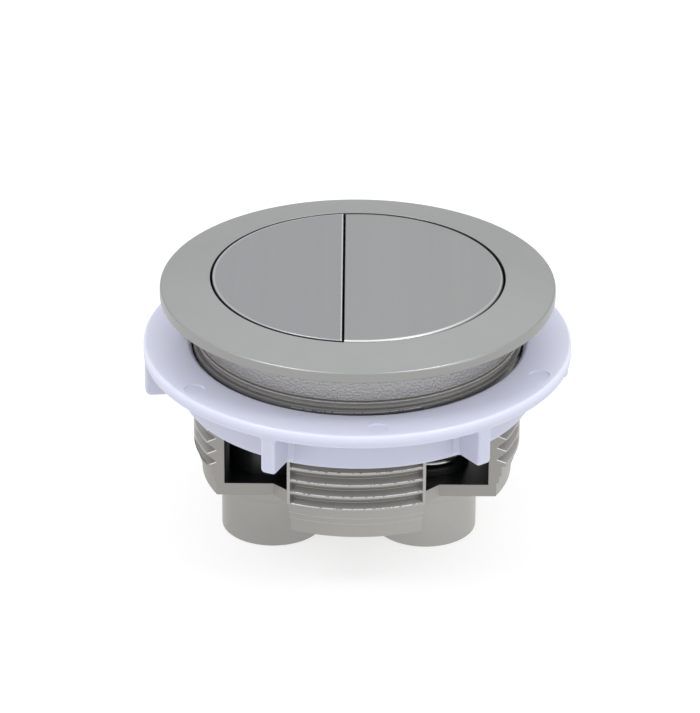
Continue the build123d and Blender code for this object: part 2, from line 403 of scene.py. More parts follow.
def smooth(mesh, angle=SHARP_ANGLE):
    """Smooth shading with edges sharper than the angle kept sharp."""
    work = bmesh.new()
    work.from_mesh(mesh)
    bmesh.ops.remove_doubles(work, verts=work.verts, dist=MERGE)
    for face in work.faces:
        face.smooth = True
    for edge in work.edges:
        edge.smooth = len(edge.link_faces) == 2 and edge.calc_face_angle(0) < angle
    work.to_mesh(mesh)
    work.free()
    return mesh


def piece(name, mesh, body, nodes, materials, weighted=True):
    """The finished object of a mesh: shaded, riding on its body and standing for its CAD nodes.

    An empty list of materials keeps those that the mesh has.
    """
    thing = link(name, smooth(mesh))
    thing.data.name = name
    if materials:
        choice = [face.material_index for face in mesh.polygons]
        mesh.materials.clear()
        for material in materials:
            mesh.materials.append(material)
        mesh.polygons.foreach_set("material_index", choice)
    if weighted:
        flatten = thing.modifiers.new("flat faces stay flat", "WEIGHTED_NORMAL")
        flatten.keep_sharp = True
    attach(thing, body)
    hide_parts(*nodes)
    return thing


# Node trees


class Wire:
    """An output of a node. Arithmetic on it adds Math nodes."""

    def __init__(self, nodes, socket):
        self.nodes, self.socket = nodes, socket

    def __add__(self, other):
        return self.nodes.math("ADD", self, other)

    def __sub__(self, other):
        return self.nodes.math("SUBTRACT", self, other)

    def __rsub__(self, other):
        return self.nodes.math("SUBTRACT", other, self)

    def __mul__(self, other):
        return self.nodes.math("MULTIPLY", self, other)

    def __truediv__(self, other):
        return self.nodes.math("DIVIDE", self, other)

    def __rtruediv__(self, other):
        return self.nodes.math("DIVIDE", other, self)

    def __lt__(self, other):
        return self.nodes.math("LESS_THAN", self, other)

    def __gt__(self, other):
        return self.nodes.math("GREATER_THAN", self, other)

    __radd__ = __add__
    __rmul__ = __mul__


class Nodes:
    """A node tree: of the world, of a material or of a geometry rule."""

    def __init__(self, tree):
        self.tree = tree

    def add(self, kind, settings=None, *values, output=0, **named):
        """A new node: its settings first, then the values or wires of its sockets."""
        node = self.tree.nodes.new(kind)
        for key, value in (settings or {}).items():
            setattr(node, key, value)
        named = {node.inputs[key.replace("_", " ")]: value for key, value in named.items()}
        for socket, value in [*zip(node.inputs, values), *named.items()]:
            if isinstance(value, Wire):
                self.tree.links.new(value.socket, socket)
            elif value is not None:
                socket.default_value = value
        return node if output is None else Wire(self, node.outputs[output])

    def math(self, operation, *values):
        """A Math node."""
        return self.add("ShaderNodeMath", {"operation": operation}, *values)

    def ramp(self, value, low, high, first=0.0, last=1.0):
        """A value that runs from first to last while another runs from low to high."""
        return self.add("ShaderNodeMapRange", {}, value, low, high, first, last)


class Finish(Nodes):
    """The node tree of one material, with its Principled shader."""

    def __init__(self, name):
        self.material = bpy.data.materials.new(name)
        self.material.use_nodes = True
        super().__init__(self.material.node_tree)
        self.tree.nodes.clear()
        self.place = self.add("ShaderNodeTexCoord", output="Object")
        parts = self.add("ShaderNodeSeparateXYZ", {}, self.place, output=None)
        self.x, self.y, self.z = (Wire(self, parts.outputs[axis]) for axis in "XYZ")

    def from_axis(self):
        """The distance from the barrel's axis."""
        return self.math("SQRT", self.x * self.x + self.y * self.y)

    def noise(self, scale, detail=2.0, roughness=0.5, stretch=(1, 1, 1)):
        """Noise over the object's own coordinates, from 0 to 1, stretched along an axis."""
        place = self.add("ShaderNodeMapping", {"vector_type": "POINT"}, self.place, Scale=stretch)
        return self.add("ShaderNodeTexNoise", {}, place, Scale=scale, Detail=detail, Roughness=roughness)

    def mixed(self, factor, *colours):
        """Two colours mixed by a value."""
        colours = (shade if isinstance(shade, Wire) else (*shade, 1) for shade in colours)
        return self.add("ShaderNodeMix", {"data_type": "RGBA"}, factor, *[None] * 5, *colours, output=2)

    def bump(self, height, strength, distance, normal=None):
        """A normal from a height."""
        return self.add(
            "ShaderNodeBump", {}, Height=height, Strength=strength, Distance=distance, Normal=normal
        )

    def shader(self, **sockets):
        """The Principled shader and the output; returns the finished material."""
        shader = self.add("ShaderNodeBsdfPrincipled", **sockets)
        self.add("ShaderNodeOutputMaterial", Surface=shader, output=None)
        return self.material


def tint(colour, factor):
    """A colour made lighter or darker."""
    return tuple(min(1.0, part * factor) for part in colour)


def band(value, low, high):
    """One where a value lies between two limits, else nought."""
    return (value > low) * (value < high)


def cut_face(nodes, sizes):
    """One on the flat sides of the legs, where the windows cut them, else nought."""
    away = nodes.math("ABSOLUTE", nodes.math("ABSOLUTE", nodes.y) - sizes.leg_face)
    return (away < 0.03 * MM) * (nodes.z < sizes.window_top)


def painted_edge_highlights(nodes, sizes, cut):
    """Painted highlights along edges: the crests and steps of the pads, and the lower flanks on the cut
    faces, broken into dashes by noise.
    """
    radius = nodes.from_axis()
    across, along = nodes.math("ABSOLUTE", nodes.x), nodes.math("ABSOLUTE", nodes.y)
    highlight_breaks = nodes.noise(1400, 2, 0.6, (1, 1, 0.3))
    threaded = band(nodes.z, sizes.thread_end - 0.2 * MM, sizes.thread_top)
    # From the root of one groove to the root of the next
    turned_by = nodes.math("ARCTAN2", nodes.y, nodes.x) / TURN + 0.25
    phase = nodes.math(
        "FRACT", (nodes.z - (sizes.thread_end + LOWEST_GROOVE)) / sizes.thread_pitch - turned_by
    )

    on_pad = across < along * math.tan(sizes.pad_angle - 1.5 * sizes.pad_rim / sizes.thread_radius)
    outermost = radius > sizes.thread_radius - 0.12 * MM
    crest = band(phase, CREST_EDGE - 0.03, CREST_EDGE + 0.035) * outermost
    crest = crest * on_pad * threaded * (highlight_breaks > 0.42)

    below, above = 0.02 * MM, 0.12 * MM
    step_one, step_two = (
        band(nodes.z, level - below, level + above) for level in (sizes.step_one, sizes.foot_top)
    )
    outside = (along > sizes.leg_face) * (radius > sizes.inner_radius + 0.5 * MM)
    steps = (step_one + step_two) * outside * highlight_breaks

    depth = (sizes.thread_radius - radius) / sizes.thread_depth
    flank = 1 - (1 - depth) * (FLANK_LOW / sizes.thread_pitch)
    flanks = band(flank - phase, 0.0, 0.075) * band(depth, 0.0, 1.0) * cut * threaded
    return crest + steps * 0.6 + flanks * 0.8


def satin_plating(finishes):
    """Satin plating: cloudy grain, a leathery neck, a streaky thread and painted highlights on its edges.

    Its tones change with the level, and under the flange from left to right, as painted light and shade,
    with painted shade on the flange's rim and in the cove under it.
    """
    sizes = bpy.context.scene.housing_sizes
    nodes = Finish("satin_plating")
    cloud = nodes.noise(180, 3)
    below = nodes.z < UNDER_FLANGE
    neck_and_thread = band(nodes.z, sizes.thread_end, UNDER_FLANGE)
    # Painted light: below the thread the plating runs from the warm nickel on the left to the lighter thread
    # nickel on the right
    painted_light_to_right = nodes.ramp(nodes.x, -15 * MM, 25 * MM)
    shades = []
    for factor in (0.95, 1.05):
        flange, warm, thread = (
            tint(shade, factor) for shade in (finishes.nickel, finishes.warm_nickel, finishes.thread_nickel)
        )
        foot = nodes.mixed(painted_light_to_right, warm, thread)
        shades.append(nodes.mixed(neck_and_thread, nodes.mixed(below, flange, foot), thread))
    base = nodes.mixed(cloud, *shades)
    # Painted shade: the flange's rim and the cove under the flange take the darker nickel, the cove fading
    # out 4.5 mm below the flange
    rim = band(nodes.z, UNDER_FLANGE, sizes.flange_edge - 0.35 * MM)
    cove = nodes.ramp(nodes.z, -4.5 * MM, UNDER_FLANGE) * below
    base = nodes.mixed(cove * 0.6 + rim, base, finishes.painted_shade_nickel)
    cut = cut_face(nodes, sizes)
    base = nodes.mixed(cut, base, finishes.cut_nickel)
    # Painted highlights on the edges of the thread, the steps and the cut faces
    base = nodes.mixed(painted_edge_highlights(nodes, sizes, cut), base, finishes.painted_edge_highlight)

    thread = band(nodes.z, sizes.barrel_end, -8.0 * MM)
    leather = nodes.noise(2400, 2, 0.5) * band(nodes.z, -7.1 * MM, -0.4 * MM)
    streaks = nodes.noise(700, 3, 0.6, (0.25, 0.25, 5)) * thread
    height = nodes.noise(5200, 3, 0.6) * 0.25 + leather * 9 + streaks * 1.5
    soft_edges = nodes.add("ShaderNodeBevel", {"samples": 4}, Radius=0.12 * MM)
    return nodes.shader(
        Base_Color=base, Metallic=1.0, Roughness=0.30 + cloud * 0.08 + thread * 0.17,
        Normal=nodes.bump(height, 0.5, 0.03 * MM, soft_edges),
    )


def brushed_plating(finishes):
    """Brushed plating of the buttons, with hairlines that run from front to back.

    The bright lines by the caps' edge and left of the split are what the photograph's light does there.
    """
    sizes = bpy.context.scene.button_sizes
    nodes = Finish("brushed_plating")
    hairs = nodes.noise(900, 4, 0.65, (6, 0.06, 1))
    streaks = nodes.noise(120, 2, 0.5, (4, 0.08, 1))
    dark, light = (
        nodes.mixed(nodes.x < sizes.split, tint(finishes.button, factor), tint(finishes.cool_button, factor))
        for factor in (0.97, 1.03)
    )
    base = nodes.mixed(streaks, dark, light)
    bevel = band(nodes.from_axis(), sizes.radius - 0.5 * MM, sizes.radius - 0.2 * MM)
    ridge = band(sizes.split - nodes.x, 0.2 * MM, 0.42 * MM)
    front = nodes.ramp(nodes.y, -24 * MM, -14 * MM, 0.75, 0.0) * (nodes.x > sizes.split)
    glint = (bevel * (front + 0.25) + ridge * 0.5) * (nodes.z > 0.0)
    base = nodes.mixed(glint, base, finishes.glint)
    return nodes.shader(
        Base_Color=base, Metallic=1.0, Roughness=0.30 + hairs * 0.10,
        Normal=nodes.bump(hairs, 0.25, 0.01 * MM),
    )


def moulded_nylon(finishes):
    """Moulded nylon that lets a little light in, with painted shade: lighter near its upper face and darker
    down towards the collar.
    """
    nut = bpy.context.scene.nut_sizes
    nodes = Finish("moulded_nylon")
    cloud = nodes.noise(90, 2)
    orange_peel = nodes.noise(900, 2)
    # Painted shade: the nylon darkens from its upper face down over 1.8 mm
    height = nodes.ramp(nodes.z, nut.top - 1.8 * MM, nut.top - 0.1 * MM)
    shade = nodes.mixed(height, tint(finishes.nylon, 0.76), tint(finishes.nylon, 1.06))
    return nodes.shader(
        Base_Color=nodes.mixed(cloud * 0.1, shade, finishes.nylon_cloud),
        Roughness=0.38 + cloud * 0.06, Subsurface_Weight=0.35,
        Subsurface_Radius=(1.0, 1.0, 1.2), Subsurface_Scale=1.5 * MM,
        Normal=nodes.bump(orange_peel, 0.15, 0.02 * MM),
    )


def moulded_acetal(finishes):
    """Smooth black plastic with a soft shine."""
    nodes = Finish("moulded_acetal")
    cloud = nodes.noise(400, 2)
    return nodes.shader(
        Base_Color=nodes.mixed(cloud, tint(finishes.acetal, 0.8), tint(finishes.acetal, 1.4)),
        Roughness=0.28 + cloud * 0.12, Normal=nodes.bump(cloud, 0.1, 0.02 * MM),
    )


def drawn_steel(finishes):
    """Bright drawn wire."""
    nodes = Finish("drawn_steel")
    lines = nodes.noise(2500, 2, 0.5, (1, 1, 3))
    return nodes.shader(
        Base_Color=nodes.mixed(lines, tint(finishes.steel, 0.85), tint(finishes.steel, 1.1)),
        Metallic=1.0, Roughness=0.18 + lines * 0.12, Normal=nodes.bump(lines, 0.1, 0.01 * MM),
    )


def floor_paper(finishes):
    """Plain pale studio floor."""
    nodes = Finish("floor_paper")
    cloud = nodes.noise(4, 2)
    return nodes.shader(
        Base_Color=nodes.mixed(cloud, tint(finishes.floor, 0.995), tint(finishes.floor, 1.005)),
        Roughness=0.9 + cloud * 0.05,
        Emission_Color=(1, 1, 1, 1), Emission_Strength=finishes.floor_glow,
    )


MAKERS = {maker.__name__: maker for maker in (
    satin_plating, brushed_plating, moulded_nylon, moulded_acetal, drawn_steel, floor_paper,
)}


def finish_of(name):
    """The named material, made the first time it is asked for."""
    return bpy.data.materials.get(name) or MAKERS[name](bpy.context.scene.button_finishes)


# Geometry node trees


class Rule(Nodes):
    """A geometry node tree with named inputs, used once on an object and then made plain."""

    def __init__(self, name):
        super().__init__(bpy.data.node_groups.new(name, "GeometryNodeTree"))
        self.keys = {}
        for way in ("INPUT", "OUTPUT"):
            self.tree.interface.new_socket("Geometry", in_out=way, socket_type="NodeSocketGeometry")
        self.start = self.tree.nodes.new("NodeGroupInput")

    def input(self, name, kind):
        """A named input of the tree, as a wire."""
        made = self.tree.interface.new_socket(name, in_out="INPUT", socket_type="NodeSocket" + kind)
        self.keys[name] = made.identifier
        return Wire(self, self.start.outputs[name])

    def end(self, geometry, material):
        """Realizes what is instanced, gives it the material and ends the tree."""
        real = self.add("GeometryNodeRealizeInstances", Geometry=geometry)
        dressed = self.add("GeometryNodeSetMaterial", Geometry=real, Material=material)
        self.add("NodeGroupOutput", {}, dressed, output=None)

    def used_on(self, mesh, **values):
        """The plain mesh that the tree makes from a mesh and the values of its inputs."""
        holder = link("work_rule", mesh)
        change = holder.modifiers.new("rule", "NODES")
        change.node_group = self.tree
        for name, value in values.items():
            change[self.keys[name]] = value
        made = made_plain(holder)
        bpy.data.objects.remove(holder)
        return made


def ring_rule(name, operation, material):
    """Copies of a thing set round the axis, then joined to the mesh or cut out of it."""
    rule = Rule(name)
    copy = rule.input("Copy", "Object")
    count = rule.input("Count", "Int")
    phase = rule.input("Phase", "Float")
    index = rule.add("GeometryNodeInputIndex")
    spin = rule.add("ShaderNodeCombineXYZ", Z=index * (TURN / count) + phase)
    points = rule.add("GeometryNodePoints", Count=count)
    thing = rule.add("GeometryNodeObjectInfo", output="Geometry", Object=copy)
    copies = rule.add("GeometryNodeInstanceOnPoints", Points=points, Instance=thing, Rotation=spin)
    real = rule.add("GeometryNodeRealizeInstances", Geometry=copies)
    settings = {"operation": operation, "solver": "MANIFOLD"}
    join = rule.add("GeometryNodeMeshBoolean", settings, output=None)
    body = "Mesh 1" if operation == "DIFFERENCE" else "Mesh 2"
    rule.tree.links.new(rule.start.outputs["Geometry"], join.inputs[body])
    rule.tree.links.new(real.socket, join.inputs["Mesh 2"])
    rule.end(Wire(rule, join.outputs[0]), material)
    return rule


def coil_rule(material):
    """A wire wound round the axis, with its end turns lying close."""
    rule = Rule("coil_rule")
    radius, wire, turns, height, close = (
        rule.input(name, "Float") for name in ("Radius", "Wire", "Turns", "Height", "Closing")
    )
    line = rule.add(
        "GeometryNodeCurveSpiral", Resolution=32, Rotations=turns,
        Start_Radius=radius, End_Radius=radius, Height=height,
    )
    share = rule.add("GeometryNodeSplineParameter")
    drop = rule.math("SINE", share * TURN) * (height * close)
    offset = rule.add("ShaderNodeCombineXYZ", Z=drop * (-1 / TURN))
    wound = rule.add("GeometryNodeSetPosition", Geometry=line, Offset=offset)
    section = rule.add("GeometryNodeCurvePrimitiveCircle", Resolution=12, Radius=wire)
    tube = rule.add("GeometryNodeCurveToMesh", Curve=wound, Profile_Curve=section, Fill_Caps=True)
    rule.end(tube, material)
    return rule


# The object's own shapes


def thread_columns(sizes, angles):
    """Radius and level of the thread's points: a right-hand V groove that dies out at the two sides."""
    soft = 0.05 * MM
    run_out = 0.8 * MM
    pitch, crest = sizes.thread_pitch, sizes.thread_radius
    top, end = sizes.thread_top, sizes.thread_end
    grooves = int((sizes.thread_length - 2 * LOWEST_GROOVE) / pitch) + 1
    phases = (FLANK_HIGH + soft, FLANK_HIGH - soft, FLANK_HIGH / 2, soft,
              -soft, -FLANK_LOW / 2, -FLANK_LOW + soft, -FLANK_LOW - soft)
    # The rows climb with the helix and drop back by one pitch within a narrow seam on the left
    share = (angles + math.pi) / TURN
    seam = 0.008
    lift = pitch * (np.interp(share, [0, seam, 1 - seam, 1], [0.5, seam, 1 - seam, 0.5]) - 0.25)
    # The least radius of a groove: the crest's own at the two sides and on the pads' rims
    sideways, forward = np.cos(angles), np.abs(np.sin(angles))
    fade = sizes.groove_fade
    floor = np.sqrt(crest ** 2 - (fade * sideways) ** 2) - fade * forward
    floor += (crest - floor) * np.interp(forward, [0.06, 0.2], [1, 0])
    off_front = (angles + math.pi / 2) % math.pi
    off_front = np.minimum(off_front, math.pi - off_front)
    rim = sizes.pad_rim / crest
    floor[(off_front > sizes.pad_angle - rim) & (off_front < sizes.pad_angle + rim)] = crest
    rows = []
    for index in range(grooves + 1, -3, -1):
        for phase in phases:
            level = np.clip(end + LOWEST_GROOVE + index * pitch + phase + lift, end, top)
            flank = max(-phase / FLANK_LOW, phase / FLANK_HIGH)
            depth = sizes.thread_depth * max(0.0, 1 - flank) if 0 <= index < grooves else 0.0
            depth = depth * np.clip((top - level) / run_out, 0, 1)
            rows.append(np.stack([np.maximum(crest - depth, floor), level], axis=-1))
    return np.stack(rows, axis=1)


def barrel_mesh(sizes):
    """Flange, neck, thread and foot as one closed ring."""
    edge, small, step = 0.2 * MM, 0.08 * MM, 0.4 * MM
    neck, bead = sizes.neck_radius, sizes.neck_radius + sizes.bead_depth
    bead_top = -sizes.neck_length
    bead_end = bead_top - sizes.bead_height
    foot = sizes.thread_radius - sizes.thread_depth
    recess_in, recess_out, recess = 29.8 * MM, 33.4 * MM, 0.8 * MM
    above = rounded([
        (sizes.inner_radius, 0, small),
        (sizes.opening_radius, 0, small),
        (sizes.opening_radius, sizes.top, 0.2 * MM),
        (sizes.flange_radius, sizes.flange_edge, 0.45 * MM),
        (sizes.flange_radius, 0, edge),
        (recess_out, 0, small),
        (recess_out, recess, small),
        (recess_in, recess, small),
        (recess_in, 0, small),
        (neck, 0, 1.5 * MM),
        (neck, bead_top, edge),
        (bead, bead_top, edge),
        (bead, bead_end, edge),
        (neck, bead_end, edge),
        (neck, sizes.thread_top, small),
        (sizes.thread_radius, sizes.thread_top, 0),
    ])
    below = rounded([
        (sizes.thread_radius, sizes.thread_end, 0),
        (foot + 2 * step, sizes.thread_end, small),
        (foot + 2 * step, sizes.step_one, 0.25 * MM),
        (foot + step, sizes.step_one, small),
        (foot + step, sizes.foot_top, 0.25 * MM),
        (foot, sizes.foot_top, small),
        (foot, sizes.barrel_end, edge),
        (sizes.inner_radius, sizes.barrel_end, small),
    ])
    # One column for each degree, and two close together at each pad's rim so that it ends crisply
    rim = sizes.pad_angle - sizes.pad_rim / sizes.thread_radius
    rims = [base + side * (rim + nudge) - math.pi / 2
            for base in (0, math.pi) for side in (-1, 1) for nudge in (-0.001, 0.001)]
    degrees = [i * TURN / 360 for i in range(360)]
    angles = np.array(sorted({round(angle % TURN, 6) for angle in degrees + rims})) - math.pi
    count = len(angles)
    profile = np.concatenate(
        [np.tile(above, (count, 1, 1)), thread_columns(sizes, angles), np.tile(below, (count, 1, 1))], axis=1
    )
    radii, levels = profile[..., 0], profile[..., 1]
    turn = angles[:, None]
    return closed_grid("barrel", np.stack([radii * np.cos(turn), radii * np.sin(turn), levels], axis=-1))


def window_tool(sizes, side_x, side_y):
    """What is cut away between a threaded pad and a leg, through wall and floor."""
    slope = math.tan(sizes.pad_angle)
    run = (sizes.floor_corner - slope * sizes.leg_face) / (1 + slope)
    outline = [
        (sizes.floor_corner, sizes.leg_face),
        (sizes.floor_corner - run, sizes.leg_face + run),
        (FAR * math.sin(sizes.pad_angle), FAR * math.cos(sizes.pad_angle)),
        (FAR, sizes.leg_face),
    ]
    outline = [(side_x * x, side_y * y) for x, y in outline]
    return prism("window", outline, sizes.barrel_end - 3 * MM, sizes.window_top)


def tube_tool(sizes, small):
    """A guide tube with its collar, still solid."""
    end = sizes.barrel_end - sizes.tube_length
    collar = sizes.tube_radius + 0.4 * MM
    collar_end = sizes.barrel_end - 2.2 * MM
    tube_top, collar_top = sizes.floor_top - 0.01 * MM, sizes.barrel_end + 0.5 * MM
    return turned("tube", [
        (0, tube_top),
        (sizes.tube_radius, tube_top),
        (sizes.tube_radius, collar_top),
        (collar, collar_top),
        (collar, collar_end, 0.3 * MM),
        (sizes.tube_radius, collar_end, 0.3 * MM),
        (sizes.tube_radius, end, 0.6 * MM),
        (0, end),
    ], centre=sizes.axis(small))


def bore_tool(sizes, small):
    """The stepped hole through floor and tube."""
    end = sizes.barrel_end - sizes.tube_length
    chamfer = 0.3 * MM
    return turned("bore", [
        (0, sizes.floor_top + 1 * MM),
        (sizes.tube_bore, sizes.floor_top + 1 * MM),
        (sizes.tube_bore, sizes.bush_seat),
        (sizes.tube_mouth, sizes.bush_seat),
        (sizes.tube_mouth, end + chamfer),
        (sizes.tube_mouth + chamfer, end),
        (sizes.tube_mouth + chamfer, end - 1 * MM),
        (0, end - 1 * MM),
    ], centre=sizes.axis(small))


def cap_mesh(name, housing, button, small):
    """A button cap: a plate with a soft edge and a skirt, open below."""
    side = -1 if small else 1
    top = housing.top
    under = top - button.plate
    low = under - button.skirt
    arc = np.linspace(-1, 1, 121)
    chord = np.linspace(1, -1, 41)[1:-1]

    def outline(inset, level):
        radius = button.radius - inset
        edge = button.split + side * (button.gap / 2 + SPLIT_ROUND * inset)
        reach = math.acos(side * edge / radius)
        ring = [(side * radius * math.cos(a * reach), radius * math.sin(a * reach)) for a in arc]
        if small:
            ring = [(x, y + button.front_gap * (1 - y / radius) / 2) for x, y in ring]
        back, front = ring[-1][1], ring[0][1]
        points = [(x, y, level) for x, y in ring]
        return points + [(edge, (back + front) / 2 + (back - front) / 2 * c, level) for c in chord]

    middle = (button.split + side * button.radius / 2, 0)
    size = button.small_round if small else button.large_round
    count = len(arc) + len(chord)
    rows = [outline(0, low), outline(0, top - size)]
    for turn in np.linspace(0, math.pi / 2, 5)[1:]:
        rows.append(outline(size * (1 - math.cos(turn)), top - size * (1 - math.sin(turn))))
    rows += [
        outline(size + 0.3 * MM, top),
        [(*middle, top)] * count,
        [(*middle, under)] * count,
        outline(button.wall + 0.1 * MM, under),
        outline(button.wall, under - 0.1 * MM),
        outline(button.wall, low),
    ]
    return closed_grid(name, np.array(rows).transpose(1, 0, 2))


def cap_boss(housing, button, small):
    """The socket under the cap that the plunger's spigot is pushed into."""
    top = housing.top - button.plate + 0.5 * MM
    low = housing.top - button.plate - button.socket_length
    inner, outer = SPIGOT_RADIUS + 0.05 * MM, 5.6 * MM
    return turned("boss", [
        (inner, top), (outer, top), (outer, low, 0.2 * MM), (inner, low, 0.2 * MM),
    ], sides=64, centre=housing.axis(small))


def plunger_mesh(name, housing, button, small):
    """Spigot, spring plate and stem with its clip groove and rod socket."""
    plate_top = housing.top - button.plate - button.socket_length
    plate_low = plate_top - button.plate_thickness
    groove_top = housing.bush_seat - 0.3 * MM
    groove_low = groove_top - 0.8 * MM
    spigot_top = plate_top + SPIGOT_LENGTH
    end = button.stem_end
    root = button.stem_radius - 0.9 * MM
    socket, chamfer = 2.5 * MM, 0.4 * MM
    edge, small_edge = 0.25 * MM, 0.05 * MM
    return turned(name, [
        (0, spigot_top),
        (SPIGOT_RADIUS, spigot_top, edge),
        (SPIGOT_RADIUS, plate_top, 0),
        (button.plate_radius, plate_top, edge),
        (button.plate_radius, plate_low, edge),
        (button.stem_radius, plate_low, 0),
        (button.stem_radius, groove_top, small_edge),
        (root, groove_top, 0),
        (root, groove_low, 0),
        (button.stem_radius, groove_low, small_edge),
        (button.stem_radius, end, edge),
        (socket + chamfer, end, 0),
        (socket, end + chamfer, 0),
        (socket, end + button.socket_depth, 0),
        (0, end + button.socket_depth),
    ], sides=96, centre=housing.axis(small))


def bush_mesh(name, housing, button, springs, small):
    """The black bush in a tube: it carries the spring and slides the stem."""
    outer = housing.tube_bore - 0.05 * MM
    bore = button.stem_radius + 0.08 * MM
    radius, wire, _ = springs.of(small)
    collar = radius * math.cos(math.pi / 12) - wire - 0.05 * MM
    seat, top = housing.bush_seat, housing.bush_top
    edge = 0.35 * MM
    outline = [(bore, seat, 0.2 * MM), (outer, seat, 0.2 * MM)]
    if small:
        sleeve_top, inside = top + 14.0 * MM, outer - 0.7 * MM
        outline += [(outer, sleeve_top, 0.25 * MM), (inside, sleeve_top, 0.25 * MM), (inside, top, 0.1 * MM)]
    else:
        outline.append((outer, top, edge))
    collar_top = top + 1.2 * MM
    outline += [(collar, top, 0.1 * MM), (collar, collar_top, edge), (bore, collar_top, 0.2 * MM)]
    return turned(name, outline, sides=128, centre=housing.axis(small))


def clip_mesh(name, housing, springs, small):
    """An open steel ring with straight ends."""
    outer, inner = springs.clip_radius, 3.35 * MM
    high = housing.bush_seat - 0.35 * MM
    low = high - 0.7 * MM
    edge = 0.08 * MM
    section = rounded([(outer, low, edge), (outer, high, edge), (inner, high, edge), (inner, low, edge)], 2)
    x, y = housing.axis(small)
    columns = []
    for share in np.linspace(0, 1, 97):
        column = []
        for radius, level in section:
            start = math.asin(springs.clip_mouth / 2 / radius)
            angle = start + (TURN - 2 * start) * share - math.pi / 2
            column.append((x + radius * math.cos(angle), y + radius * math.sin(angle), level))
        columns.append(column)
    return closed_grid(name, columns, wrap_columns=False)


def lug_mesh(nut):
    """One gripping lug, rounded at its lower outer corner and flared where it meets flange and collar."""
    low = nut.top - nut.height + nut.lug_rise
    high = nut.top - nut.thickness / 2
    ceiling = nut.top - nut.thickness
    collar = nut.bore + nut.collar
    inner = nut.bore + nut.collar / 2
    flare, corner, side_round = 0.9 * MM, 1.2 * MM, 0.7 * MM

    def curve(distance, size):
        """How far a quarter round of a size has come in, at a distance from its end."""
        return size * (1 - math.sqrt(1 - min(1.0, max(0.0, 1 - distance / size)) ** 2))

    rows = []
    for level in (*np.linspace(low, low + corner, 9), *np.linspace(ceiling - flare, ceiling, 5), high):
        outer = nut.radius - 0.15 * MM - curve(level - low, corner)
        half = nut.lug_thickness / 2 - curve(level - low, side_round) + curve(ceiling - level, flare)
        tip = min(0.5 * MM, 0.4 * half)
        one_side = [(inner, half + flare), (collar, half + flare)]
        one_side += [(collar + flare * math.sin(turn), half + flare * (1 - math.sin(turn)))
                     for turn in np.linspace(0, math.pi / 2, 5)[1:]]
        one_side += [(outer - tip + tip * math.sin(turn), half - tip + tip * math.cos(turn))
                     for turn in np.linspace(0, math.pi / 2, 4)]
        outline = one_side + [(x, -y) for x, y in reversed(one_side)]
        rows.append([(x, y, level) for x, y in outline])
    return loft("lug", rows)


def nut_blank(nut):
    """The nut's flange and collar before the lugs and marks."""
    bottom = nut.top - nut.height
    collar = nut.bore + nut.collar
    under = nut.top - nut.thickness
    return turned("nut_blank", [
        (nut.bore + 0.6 * MM, nut.top, 0.3 * MM),
        (nut.radius, nut.top, nut.edge_round),
        (nut.radius, under, 0.15 * MM),
        (collar, under, 0.8 * MM),
        (collar, bottom, 0.2 * MM),
        (nut.bore, bottom, 0.2 * MM),
        (nut.bore, nut.top - 0.6 * MM, 0.1 * MM),
    ], sides=240)


def paint_inside(mesh, sizes):
    """Gives the inner faces of the housing its second material, the bare black plastic."""
    axes = (sizes.axis(True), sizes.axis(False))
    tube_end = sizes.barrel_end - sizes.tube_length
    for face in mesh.polygons:
        x, y, z = face.center
        radius = math.hypot(x, y)
        facing = face.normal.x * x + face.normal.y * y
        on_wall = abs(radius - sizes.inner_radius) < 0.1 * MM and facing < 0
        in_barrel = radius < sizes.inner_radius - 0.05 * MM and sizes.floor_top - 0.05 * MM < z < 0
        in_tube = z > tube_end + 0.4 * MM and any(
            math.hypot(x - a, y - b) < sizes.tube_bore + 0.02 * MM for a, b in axes
        )
        if z < 0.01 * MM and (on_wall and z > sizes.barrel_end or in_barrel or in_tube):
            face.material_index = 1


# Operators


class PUSHBUTTON_OT_housing(bpy.types.Operator):
    """Build the flanged and threaded housing"""

    bl_idname = "pushbutton.housing"
    bl_label = "Housing"

    def execute(self, context):
        sizes = context.scene.housing_sizes
        mesh = barrel_mesh(sizes)
        rim, under = sizes.inner_radius + 0.08 * MM, sizes.barrel_end + 0.001 * MM
        plate = turned("floor", [(0, sizes.floor_top), (rim, sizes.floor_top), (rim, under), (0, under)])
        split, half = context.scene.button_sizes.split, sizes.web_thickness / 2
        reach = math.sqrt(sizes.inner_radius ** 2 - split ** 2) + 0.05 * MM
        corners = [(split + x * half, y * reach) for x, y in ((-1, -1), (1, -1), (1, 1), (-1, 1))]
        web = prism("web", corners, sizes.floor_top - 0.5 * MM, sizes.web_top)
        mesh = combine(mesh, [plate, web], "UNION")
        both = (True, False)
        windows = [window_tool(sizes, x, y) for x in (-1, 1) for y in (-1, 1)]
        mesh = combine(mesh, windows, "DIFFERENCE")
        mesh = combine(mesh, [tube_tool(sizes, small) for small in both], "UNION")
        mesh = combine(mesh, [bore_tool(sizes, small) for small in both], "DIFFERENCE")
        paint_inside(mesh, sizes)
        materials = [finish_of("satin_plating"), finish_of("moulded_acetal")]
        piece("housing_shell", mesh, "housing_body", ["housing"], materials)
        return {"FINISHED"}


class PUSHBUTTON_OT_buttons(bpy.types.Operator):
    """Build the two button caps"""

    bl_idname = "pushbutton.buttons"
    bl_label = "Button caps"

    def execute(self, context):
        housing, button = context.scene.housing_sizes, context.scene.button_sizes
        for small, word in ((True, "small"), (False, "large")):
            mesh = cap_mesh(word + "_cap", housing, button, small)
            mesh = combine(mesh, [cap_boss(housing, button, small)], "UNION")
            piece(word + "_cap", mesh, word + "_button", [word + "_button_cap"],
                  [finish_of("brushed_plating")])
        return {"FINISHED"}


